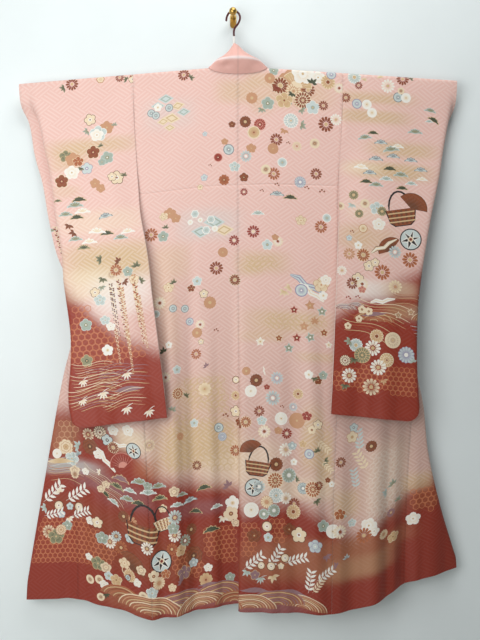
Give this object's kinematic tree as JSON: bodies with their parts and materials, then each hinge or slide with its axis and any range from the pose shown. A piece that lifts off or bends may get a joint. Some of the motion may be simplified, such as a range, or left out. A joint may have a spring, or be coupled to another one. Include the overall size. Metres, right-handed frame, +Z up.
{
  "type": "furisode on a kimono hanger with its wall hook",
  "caption": "Long-sleeved silk kimono hung spread from a wall peg on a straight hanger: open neck, cuffs and hem, fronts winged out beside the back, lower sleeve corners rounded",
  "frame": {"origin": "On the wall, on the axis of the brass peg that carries the hanger's hook", "axes": "+X to the right of someone facing the garment, +Y through the wall, +Z up; the garment's back faces -Y"},
  "size_m": [1.3258, 0.1135, 1.827],
  "materials": {
    "silk": "figured silk with printed flowers, soft sheen",
    "collar_silk": "the same silk folded double",
    "hanger_plastic": "smooth dark brown plastic",
    "ferrule_plastic": "smooth white plastic",
    "hook_coating": "dark maroon coated wire",
    "brass": "polished brass"
  },
  "bodies": {
    "root": {"body_panel_left": "silk", "body_panel_right": "silk", "overlap_panel_left": "silk", "overlap_panel_right": "silk", "sleeve_left": "silk", "sleeve_right": "silk", "collar_left": "collar_silk", "collar_right": "collar_silk", "over_collar": "collar_silk", "hanger_arm_left": "hanger_plastic", "hanger_arm_right": "hanger_plastic", "hanger_hub": "hanger_plastic", "hanger_stem": "hanger_plastic", "hanger_ferrule": "ferrule_plastic", "hanger_hook": "hook_coating", "wall_hook_peg": "brass", "wall_hook_plate": "brass"}
  },
  "joints": []
}
